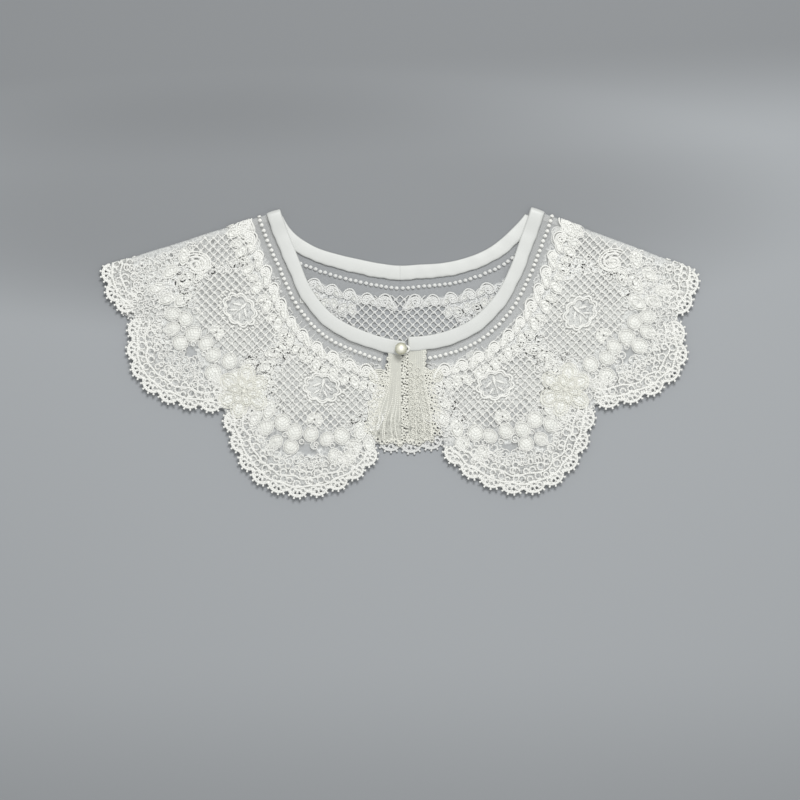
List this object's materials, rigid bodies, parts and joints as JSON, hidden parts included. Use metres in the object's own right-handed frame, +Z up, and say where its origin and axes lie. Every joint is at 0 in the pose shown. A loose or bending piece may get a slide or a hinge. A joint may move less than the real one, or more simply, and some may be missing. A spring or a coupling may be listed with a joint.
{
  "type": "embroidered detachable collar",
  "caption": "Scalloped lace cape collar laid flat and folded at the shoulders, with a satin neck binding and a pearl button at the front.",
  "frame": {"origin": "middle of the laid collar's footprint, on the surface that it rests on", "axes": "+X to the picture's right along the shoulders, +Y towards the back neck, +Z up from the surface"},
  "size_m": [0.3882, 0.1882, 0.0132],
  "materials": {
    "lace": "ivory corded lace and satin stitch on sheer organza",
    "satin": "ivory satin bias binding",
    "pearl": "pearl lustre"
  },
  "bodies": {
    "root": {"back_panel": "lace", "front_left": "lace", "front_right": "lace", "edging_left": "lace", "edging_right": "lace", "button_loop": "lace", "binding_back": "satin", "binding_left": "satin", "binding_right": "satin", "pearl_button": "pearl"}
  },
  "joints": []
}
